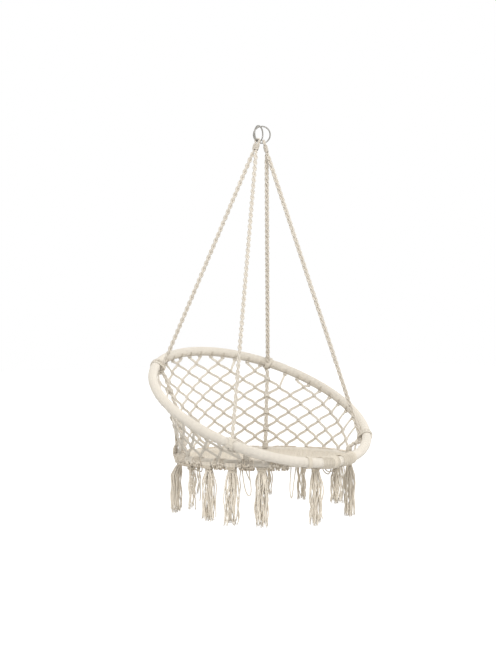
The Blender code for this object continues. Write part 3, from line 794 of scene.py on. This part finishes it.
def rim_hitch(paths, low, column, sign, rng):
    """The doubled cord from a topmost knot to a small knot under the rim hoop."""
    azimuth = column_azimuth(column) + sign * pi / NET_COLUMNS
    if near_rope(azimuth, ROPE_BERTH):
        return
    centre = hoop_point(azimuth)
    run = along(hoop_point, azimuth)
    lean = square_to(low[0] - centre, run)
    knot = centre + lean * (HOOP_WRAP_RADIUS + 1.4 * NET_CORD)
    out = lean.cross(run).normalized()
    paths.add(coil(knot, -lean, run, out, *RIM_KNOT), tone=rng.uniform(-0.12, -0.04))
    apart = (knot - low[0]).normalized().cross(low[3]).normalized() * PAIR_GAP / 2.0
    for lane in (-1.0, 1.0):
        start = low[0] + low[2] * sign * 0.0030 + apart * lane * 0.8
        end = knot + apart * lane * 0.8
        line = bend(start, low[1], end, -lean, 0.012, 7)
        line.append(centre + lean * (HOOP_WRAP_RADIUS - NET_CORD) + apart * lane * 0.6)
        paths.add(line, tone=rng.uniform(-0.06, 0.06))
        stitch = arc(centre + run * lane * STITCH_GAP, lean, out, HOOP_WRAP_RADIUS,
                     range(-70, 71, 14))
        paths.add(stitch, thickness=0.62, tone=rng.uniform(-0.30, -0.12))


def rope_ties(name, finish, rng):
    """Net cord wound round each rope where the net's knots take it in, and round its foot."""
    paths = Paths()
    above = HOOP_CENTRE + UP * 0.9
    for azimuth in ROPES:
        lashing(paths, azimuth, above, rng)
        leg = flow(lower_leg(azimuth, pass_hoop(azimuth, above)[-1]), LINE_STEP)
        side = along(seat_point, azimuth)
        column = math.floor(azimuth % tau / (tau / NET_COLUMNS))
        for height in (row_height(row) for row in range(1, 12) if (row + column) % 2 == 0):
            near = min(range(1, len(leg) - 1), key=lambda n: abs(leg[n].z - height))
            if abs(leg[near].z - height) > 0.004:
                continue
            run = (leg[near - 1] - leg[near + 1]).normalized()
            wide = square_to(side, run)
            paths.add(coil(leg[near], run, wide, run.cross(wide), *ROPE_TIE, 12),
                      tone=rng.uniform(-0.06, 0.04))
        foot = leg[-1] + UP * 0.006
        wide = square_to(side, UP)
        paths.add(coil(foot, UP, wide, UP.cross(wide), *FOOT_TIE, 12),
                  tone=rng.uniform(-0.15, -0.08))
    return corded(name, paths, NET_CORD, 6, finish)


# ---------------------------------------------------------------- seat

def seat_height(x, y):
    """The middle of the woven seat, dished below its hoop."""
    reach = SEAT_RADIUS - SEAT_WRAP_RADIUS
    share = min(1.0, math.hypot(x, y) / reach)
    return -MAT_SAG * (1.0 - share * share)


def woven_seat(name, across, finish, rng):
    """One of the seat's two sets of cords, in bundles that pass over and under the other."""
    reach = SEAT_RADIUS - SEAT_WRAP_RADIUS + SEAT_TUCK
    half = int(reach / SEAT_SPACING)
    paths = Paths()
    for bundle in range(-half, half + 1):
        for cord in range(SEAT_BUNDLE):
            beside = bundle * SEAT_SPACING + (cord - (SEAT_BUNDLE - 1) / 2.0) * 2.0 * SEAT_CORD
            if abs(beside) >= reach - 0.004:
                continue
            end = math.sqrt(reach * reach - beside * beside)
            steps = max(2, round(2.0 * end / (SEAT_SPACING / 3.0)))
            wander = rng.uniform(-0.0006, 0.0006)
            points = []
            for index in range(steps + 1):
                run = -end + 2.0 * end * index / steps
                beat = run / SEAT_SPACING + bundle + (1.0 if across else 0.0)
                wave = SEAT_CORD * cos(pi * beat)
                x, y = (run, beside + wander) if across else (beside + wander, run)
                points.append(SEAT_CENTRE + Vector((x, y, seat_height(x, y) + wave)))
            paths.add(points, tone=rng.uniform(-0.08, 0.06))
    return corded(name, paths, SEAT_CORD, 5, finish)


def edge_free(azimuth, reach):
    """Whether a place on the seat hoop is clear of the tassels, which swing."""
    return all(abs(math.remainder(azimuth - radians(place), tau)) > reach
               for place, *_ in TASSELS)


def edge_knots(name, finish, rng):
    """The net's cords hitched closely round the seat hoop, with knots along its underside."""
    paths = Paths()
    first, last = EDGE_RUN
    count = round((last - first) * SEAT_RADIUS / HITCH_PITCH)
    for index in range(count + 1):
        azimuth = first + (last - first) * index / count
        if not edge_free(azimuth, TASSEL_BERTH):
            continue
        centre = seat_point(azimuth)
        outward = level(azimuth)
        run = along(seat_point, azimuth)
        slant = rng.uniform(-0.0022, 0.0022)
        reach = SEAT_WRAP_RADIUS + LACING_CORD * 0.7
        points = []
        for angle in range(120, -151, -15):
            a = radians(angle)
            lift = reach + 0.0006 * rng.random()
            points.append(centre + (outward * cos(a) + UP * sin(a)) * lift
                          + run * slant * cos(a))
        paths.add(points, tone=rng.uniform(-0.12, 0.14))
        # The knots get darker tones the lower they sit round the hoop, -0.28 on its underside:
        # painted shade under the hoop.
        for angle, proud, tone in ((-8.0, 0.8, 0.0), (-45.0, 1.2, -0.06), (-80.0, 2.2, -0.28)):
            if rng.random() < 0.3:
                continue
            a = radians(angle + rng.uniform(-12.0, 12.0))
            out = outward * cos(a) + UP * sin(a)
            way = (run + outward.cross(run) * rng.uniform(-0.9, 0.9)).normalized()
            wide = square_to(out, way)
            spot = centre + out * (reach + LACING_CORD * proud) + run * rng.uniform(-0.002, 0.002)
            paths.add(coil(spot, way, wide, way.cross(wide), *EDGE_KNOT, 8),
                      tone=tone + rng.uniform(-0.16, 0.16))
    for azimuth in SIDE_KNOTS:
        side_knots(paths, azimuth, rng)
    return corded(name, paths, LACING_CORD, 6, finish)


def side_knots(paths, azimuth, rng):
    """A thick bunch of knots that stands proud of the net just above the seat hoop."""
    outward = level(azimuth)
    run = along(seat_point, azimuth)
    middle = seat_point(azimuth) + outward * 0.012 + UP * 0.014
    for index in range(SIDE_COUNT):
        angle = index * GOLDEN_ANGLE
        far = math.sqrt((index + 0.5) / SIDE_COUNT)
        spot = middle + run * 0.019 * far * cos(angle) + UP * 0.024 * far * sin(angle)
        spot += outward * 0.012 * math.sqrt(1.0 - far * far * 0.9)
        way = run * rng.uniform(-1.0, 1.0) + UP * rng.uniform(-1.0, 1.0) + outward * 0.2
        way.normalize()
        wide = square_to(outward, way)
        paths.add(coil(spot, way, wide, way.cross(wide), *SIDE_KNOT, 8),
                  tone=rng.uniform(-0.20, 0.22))
    for index in range(8):
        beside = (index - 3.5) * 0.0054
        height = middle.z + rng.uniform(0.10, 0.15)
        top = net_line(azimuth + beside / SEAT_RADIUS, height) + outward * 0.004
        start = middle + run * beside * 0.6 + UP * 0.012 + outward * 0.004
        line = bend(start, UP, top, (top - start).normalized(), 0.02, 10)
        wave = rng.uniform(0.0, 6.0)
        paths.add([point + run * 0.002 * sin(wave + n * 0.9) for n, point in enumerate(line)],
                  tone=rng.uniform(-0.14, 0.06))


def rim_beside(azimuth):
    """The rim hoop's middle and its run, in a direction seen from the seat's middle."""
    turn = azimuth
    for _ in range(12):
        place = hoop_point(turn) - SEAT_CENTRE
        turn += math.remainder(azimuth - math.atan2(place.y, place.x), tau) * 0.8
    return hoop_point(turn), along(hoop_point, turn)


def fanned_cords(name, finish, rng):
    """Bundles of the seat's cords that fan out over both hoops at the front, and slack loops."""
    paths = Paths()
    for first, last, count in FANS:
        for index in range(count):
            share = index / (count - 1)
            inner = radians((first + last) / 2.0 + (last - first) * (share - 0.5) * 0.45)
            outer = radians(first + (last - first) * share)
            start = level(inner)
            radial = level(outer)
            lift = FAN_CORD * (1.0 + rng.uniform(0.0, 1.2))
            line = [SEAT_CENTRE + start * 0.205 + UP * (seat_height(0.205, 0.0) + 0.004),
                    SEAT_CENTRE + start * 0.250 + UP * (seat_height(0.250, 0.0) + 0.007 + lift)]
            seat = SEAT_CENTRE + radial * SEAT_RADIUS
            line += arc(seat, radial, UP, SEAT_WRAP_RADIUS + lift, (115, 85))
            rim, run = rim_beside(outer)
            out = square_to(radial, run)
            up = run.cross(out)
            if up.z < 0.0:
                up.negate()
            line += arc(rim, out, up, HOOP_WRAP_RADIUS + lift, range(100, -126, -25))
            paths.add(flow(line, 0.006), tone=rng.uniform(-0.10, 0.10))
    for start, end, drop, wide in SLACK_LOOPS:
        slack_loop(paths, radians(start), radians(end), drop, wide, rng)
    return corded(name, paths, FAN_CORD, 6, finish)


def slack_loop(paths, start, end, drop, wide, rng):
    """A cord that hangs in a loop under the seat hoop, or straight down if its places are one."""
    first = seat_point(start) - UP * SEAT_WRAP_RADIUS
    last = seat_point(end) - UP * SEAT_WRAP_RADIUS
    radial = level(start)
    run = along(seat_point, start)
    wave = rng.uniform(0.0, 6.0)
    points = []
    for index in range(25):
        share = index / 24.0
        if start == end:
            spot = first - UP * drop * share
        else:
            spot = first.lerp(last, share) - UP * drop * sin(pi * share) ** 0.8
        spot += run * (wide * sin(pi * share) + 0.004 * sin(wave + 7.0 * share))
        spot += radial * 0.004 * sin(2.0 * wave + 5.0 * share)
        points.append(spot)
    paths.add(points, thickness=1.2, tone=rng.uniform(-0.22, -0.05))


def binding_outline(azimuth, lift):
    """The path round both hoops where they lie side by side, as centre, run and outline points."""
    rim = hoop_point(azimuth)
    outward = rim - SEAT_CENTRE
    seat_azimuth = math.atan2(outward.y, outward.x)
    seat = seat_point(seat_azimuth)
    run = (along(hoop_point, azimuth) + along(seat_point, seat_azimuth)).normalized()
    across = square_to(rim - seat, run)
    deep = run.cross(across)
    outline = []
    for middle, reach, first in ((rim, HOOP_WRAP_RADIUS, -pi / 2.0),
                                 (seat, SEAT_WRAP_RADIUS, pi / 2.0)):
        for step in range(9):
            turn = first + pi * step / 8.0
            outline.append(middle + (across * cos(turn) + deep * sin(turn)) * (reach + lift))
    return run, outline


def front_binding(name, azimuth, finish, rng):
    """Turns of cord that hold the two hoops together."""
    run, outline = binding_outline(azimuth, LACING_CORD + 3.0 * CLEARANCE)
    paths = Paths()
    turns = round(BINDING_WIDTH / (2.0 * LACING_CORD))
    points = []
    for turn in range(turns):
        for index, point in enumerate(outline):
            share = (turn + index / len(outline)) / turns - 0.5
            points.append(point + run * share * BINDING_WIDTH)
    paths.add(points, tone=rng.uniform(-0.05, 0.05))
    return corded(name, paths, LACING_CORD, 6, finish)


# ---------------------------------------------------------------- tassels

def tassel(name, degrees, length, cords, lean, finish, rng):
    """Cords doubled over the seat hoop, bound to a neck below it, with frayed ends."""
    turn = radians(degrees)
    middle = seat_point(turn)
    outward = level(turn)
    tangent = Vector((-sin(turn), cos(turn), 0.0))
    radius = SEAT_WRAP_RADIUS + TASSEL_CORD + CLEARANCE
    beside_rim = abs(degrees - FRONT) < FRONT_REACH
    fullness = rng.uniform(0.95, 1.25)
    paths = Paths()
    ends = Paths()
    for index in range(cords):
        beside = (index - (cords - 1) / 2.0) * min(TASSEL_SPACING, TASSEL_WIDTH / cords)
        beside += rng.uniform(-0.0008, 0.0008)
        for sign in (1.0, -1.0):
            angles = (-52.0, -60.0, -70.0) if sign > 0.0 and beside_rim else (8.0, -8.0, -22.0)
            line = arc(middle + tangent * beside, outward * sign, UP, radius, angles)
            neck = Vector((sign * 0.0052, beside * 0.58))
            belly = Vector((sign * rng.uniform(-0.008, 0.019) + lean,
                            beside * fullness + rng.uniform(-0.006, 0.006)))
            place = middle + outward * neck.x + tangent * neck.y - UP * NECK_DROP
            line += bend(line[-1], -UP, place, -UP, 0.006, 5)[1:]
            drop = length * rng.uniform(0.92, 1.04) - 0.004
            for side, down in waved(neck, belly, drop, rng):
                line.append(middle + outward * side.x + tangent * side.y - UP * down)
            tone = rng.uniform(-0.16, 0.12)
            paths.add(line, tone=tone)
            fray(ends, line[-1], (line[-1] - line[-3]).normalized(), tone, rng)
    for turn_number in range(3):
        tilt = (UP + tangent * rng.uniform(-0.25, 0.25)).normalized()
        wide = square_to(tangent, tilt)
        centre = middle - UP * (NECK_DROP + (turn_number - 1) * 0.0036)
        paths.add(coil(centre, tilt, wide, tilt.cross(wide), *NECK_TURN, 16),
                  tone=rng.uniform(-0.42, -0.25))
    wide = square_to(outward, tangent)
    for knot in range(5):
        [spot] = arc(middle + tangent * (knot - 2.0) * HEAD_SPACING, outward, UP, HEAD_REACH,
                     [-75.0 if beside_rim else -54.0])
        paths.add(coil(spot, tangent, wide, tangent.cross(wide), *HEAD_KNOT, 8),
                  tone=rng.uniform(-0.42, -0.18))
    body = corded(name, paths, TASSEL_CORD, 6, finish)
    tips = corded(name + "_tips", ends, FIBRE_RADIUS, 3, finish)
    return joined(name, [body, tips])


def waved(neck, belly, drop, rng):
    """A slack cord's place beside its tassel's middle, and how far down it is, below the neck."""
    phases = [rng.uniform(0.0, tau) for _ in range(2)]
    size = rng.uniform(0.0016, 0.0040)
    turns = rng.uniform(9.0, 15.0)
    steps = 20
    for step in range(1, steps + 1):
        share = step / steps
        spread = min(1.0, 4.0 * share) ** 0.7
        side = neck.lerp(belly, spread)
        side += size * spread * Vector((sin(0.8 * turns * share + phases[0]),
                                        sin(turns * share + phases[1])))
        yield side, NECK_DROP + (drop - NECK_DROP) * share


def fray(paths, tip, way, tone, rng):
    """Loose fibres at a cord's cut end."""
    side = square_to(Vector((rng.uniform(-1, 1), rng.uniform(-1, 1), 0.1)), way)
    deep = way.cross(side)
    for fibre in range(6):
        angle = tau * fibre / 6.0 + rng.uniform(-0.4, 0.4)
        out = side * cos(angle) + deep * sin(angle)
        reach = rng.uniform(0.008, 0.014)
        spread = rng.uniform(0.2, 0.5)
        paths.add([tip - way * 0.003 + out * 0.0006,
                   tip + way * reach * 0.4 + out * (0.0010 + reach * spread * 0.3),
                   tip + way * reach * 0.9 + out * (0.0010 + reach * spread)],
                  thickness=(1.0, 0.9, 0.5), tone=tone + 0.05)


def joined(name, items):
    """Several meshes made one."""
    bm = bmesh.new()
    finish = items[0].data.materials[0]
    for item in items:
        bm.from_mesh(item.data)
    mesh = bpy.data.meshes.new(name)
    bm.to_mesh(mesh)
    bm.free()
    mesh.materials.append(finish)
    for item in items:
        spare = item.data
        bpy.data.objects.remove(item)
        bpy.data.meshes.remove(spare)
    return placed(name, mesh)


# ---------------------------------------------------------------- studio

def studio():
    scene = bpy.context.scene
    scene.view_settings.view_transform = 'Standard'
    world = bpy.data.worlds.new("studio_air")
    scene.world = world
    world.use_nodes = True
    tree = world.node_tree
    light = tree.nodes["Background"]
    light.inputs["Color"].default_value = (1.0, 1.0, 1.0, 1.0)
    light.inputs["Strength"].default_value = 0.72
    white = node(tree, "ShaderNodeBackground")
    white.inputs["Color"].default_value = (1.0, 1.0, 1.0, 1.0)
    rays = node(tree, "ShaderNodeLightPath")
    seen = maths(tree, 'MAXIMUM', rays.outputs["Is Camera Ray"], rays.outputs["Is Glossy Ray"])
    seen = maths(tree, 'MAXIMUM', seen, rays.outputs["Is Transmission Ray"])
    mix = node(tree, "ShaderNodeMixShader")
    link(seen, mix.inputs[0])
    link(light.outputs[0], mix.inputs[1])
    link(white.outputs[0], mix.inputs[2])
    link(mix.outputs[0], tree.nodes["World Output"].inputs["Surface"])

    for name, place, size, power in (("key_lamp", (-2.6, -3.2, 2.4), 2.2, 175.0),
                                     ("fill_lamp", (3.4, -2.2, 0.6), 2.8, 52.0),
                                     ("back_lamp", (0.8, 3.4, 1.6), 2.4, 58.0)):
        lamp = bpy.data.lights.new(name, 'AREA')
        lamp.size = size
        lamp.energy = power
        item = placed(name, lamp)
        item.location = place
        item.rotation_euler = (HOOP_CENTRE - Vector(place)).to_track_quat('-Z', 'Y').to_euler()


def floor(finish):
    mesh = bpy.data.meshes.new("studio_floor")
    reach = 30.0
    height = -2.05
    mesh.from_pydata([(-reach, -reach, height), (reach, -reach, height), (reach, reach, height),
                      (-reach, reach, height)], [], [(0, 1, 2, 3)])
    mesh.materials.append(finish)
    placed("studio_floor", mesh)


def floor_finish():
    """Matt white, lifted for the camera so that it meets the white air, and still shaded."""
    made, tree, shader = new_finish("floor_white")
    shader.inputs["Base Color"].default_value = (0.80, 0.80, 0.80, 1.0)
    shader.inputs["Roughness"].default_value = 1.0
    glow = node(tree, "ShaderNodeEmission")
    rays = node(tree, "ShaderNodeLightPath")
    seen = maths(tree, 'MAXIMUM', rays.outputs["Is Camera Ray"], rays.outputs["Is Glossy Ray"])
    link(maths(tree, 'MULTIPLY', seen, 0.62), glow.inputs["Strength"])
    total = node(tree, "ShaderNodeAddShader")
    link(shader.outputs[0], total.inputs[0])
    link(glow.outputs[0], total.inputs[1])
    link(total.outputs[0], tree.nodes["Material Output"].inputs["Surface"])
    return made


def camera():
    """Stands in front of the chair, to its left and a little above it, as in the photograph."""
    azimuth = radians(-40.58)
    elevation = radians(3.08)
    distance = 6.0
    back = Vector((sin(azimuth) * cos(elevation),
                   -cos(azimuth) * cos(elevation), sin(elevation)))
    lens = bpy.data.cameras.new("camera")
    long_side = 664.0
    focal_pixels = 1677.4
    lens.sensor_width = 36.0
    lens.lens = focal_pixels / long_side * lens.sensor_width
    lens.shift_x = -12.6 / long_side
    lens.shift_y = 72.55 / long_side
    item = placed("camera", lens)
    item.location = HOOP_CENTRE + back * distance
    item.rotation_euler = back.to_track_quat('Z', 'Y').to_euler()
    bpy.context.scene.camera = item


# ---------------------------------------------------------------- putting it together

def numbered(prefix, count, digits):
    return [f"{prefix}_{number + 1:0{digits}d}" for number in range(count)]


def hang(piece, nodes=(), body="chair"):
    """Gives a piece its body and the solids that it stands for."""
    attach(piece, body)
    if nodes:
        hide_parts(*nodes)


def build(frame):
    rng = random.Random(11)
    ring_steel = steel("ring_wire_steel", (0.26, 0.25, 0.23), 0.36)
    tube_steel = steel("tube_bare_steel", (0.42, 0.43, 0.44), 0.45)
    rope_cotton, wound_cotton, net_cotton, seat_cotton, edge_cotton, tassel_cotton = (
        cotton(name + "_cotton", *look) for name, look in COTTONS.items())

    large = RingShape(*LARGE_RING)
    small = RingShape(*SMALL_RING)
    for label, shape in (("ring_large", large), ("ring_small", small)):
        hang(ring_wire(label + "_wire", shape, ring_steel), [label], "rings")

    for side, label, shape in ((1.0, "right", large), (-1.0, "left", small)):
        plaited, collar = rope("plaited_rope_" + label, side, shape, rope_cotton, rng)
        hang(plaited, ["rope_" + label])
        hang(whipping("wound_whipping_" + label, collar, rope_cotton),
             ["whipping_" + label])

    tilt = Matrix.Translation(HOOP_CENTRE) @ Matrix.Rotation(HOOP_TILT, 4, 'X')
    hang(wound_hoop("rim_winding", HOOP_RADIUS, HOOP_WRAP_RADIUS, tilt, wound_cotton),
         numbered("rim_wrap", 12, 2))
    flat = Matrix.Translation(SEAT_CENTRE)
    hang(wound_hoop("seat_winding", SEAT_RADIUS, SEAT_WRAP_RADIUS, flat, wound_cotton),
         numbered("seat_wrap", 12, 2))
    for label in ("rim_hoop_tube", "seat_hoop_tube"):
        tube = frame["nodes"][label]
        for slot in tube.material_slots:
            slot.material = tube_steel

    hang(knotted_net("knotted_net", net_cotton, rng), numbered("net_panel", 8, 1))
    hang(rope_ties("rope_ties", net_cotton, rng))
    hang(woven_seat("seat_cords_across", True, seat_cotton, rng), ["seat_mat"])
    hang(woven_seat("seat_cords_along", False, seat_cotton, rng), ["seat_mat"])
    hang(edge_knots("seat_edge_knots", edge_cotton, rng))
    hang(fanned_cords("fanned_seat_cords", seat_cotton, rng))
    for number, azimuth in enumerate(BINDINGS):
        label = f"front_binding_{number + 1}"
        hang(front_binding("wound_" + label, azimuth, seat_cotton, rng), [label])

    for label, sizes in zip(numbered("tassel", len(TASSELS), 2), TASSELS):
        hang(tassel("frayed_" + label, *sizes, tassel_cotton, rng),
             [label], label + "_body")


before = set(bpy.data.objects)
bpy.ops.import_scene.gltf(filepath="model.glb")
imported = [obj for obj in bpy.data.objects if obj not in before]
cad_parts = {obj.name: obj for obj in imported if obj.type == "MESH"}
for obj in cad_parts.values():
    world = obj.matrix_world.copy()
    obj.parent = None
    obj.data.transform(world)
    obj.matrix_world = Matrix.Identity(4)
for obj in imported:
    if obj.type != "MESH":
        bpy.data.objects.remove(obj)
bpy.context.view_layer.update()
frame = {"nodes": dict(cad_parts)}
camera()
studio()
floor(floor_finish())
CORD_TREE = cord_tree()
WINDING_TREE = winding_tree()
build(frame)
bpy.context.view_layer.update()
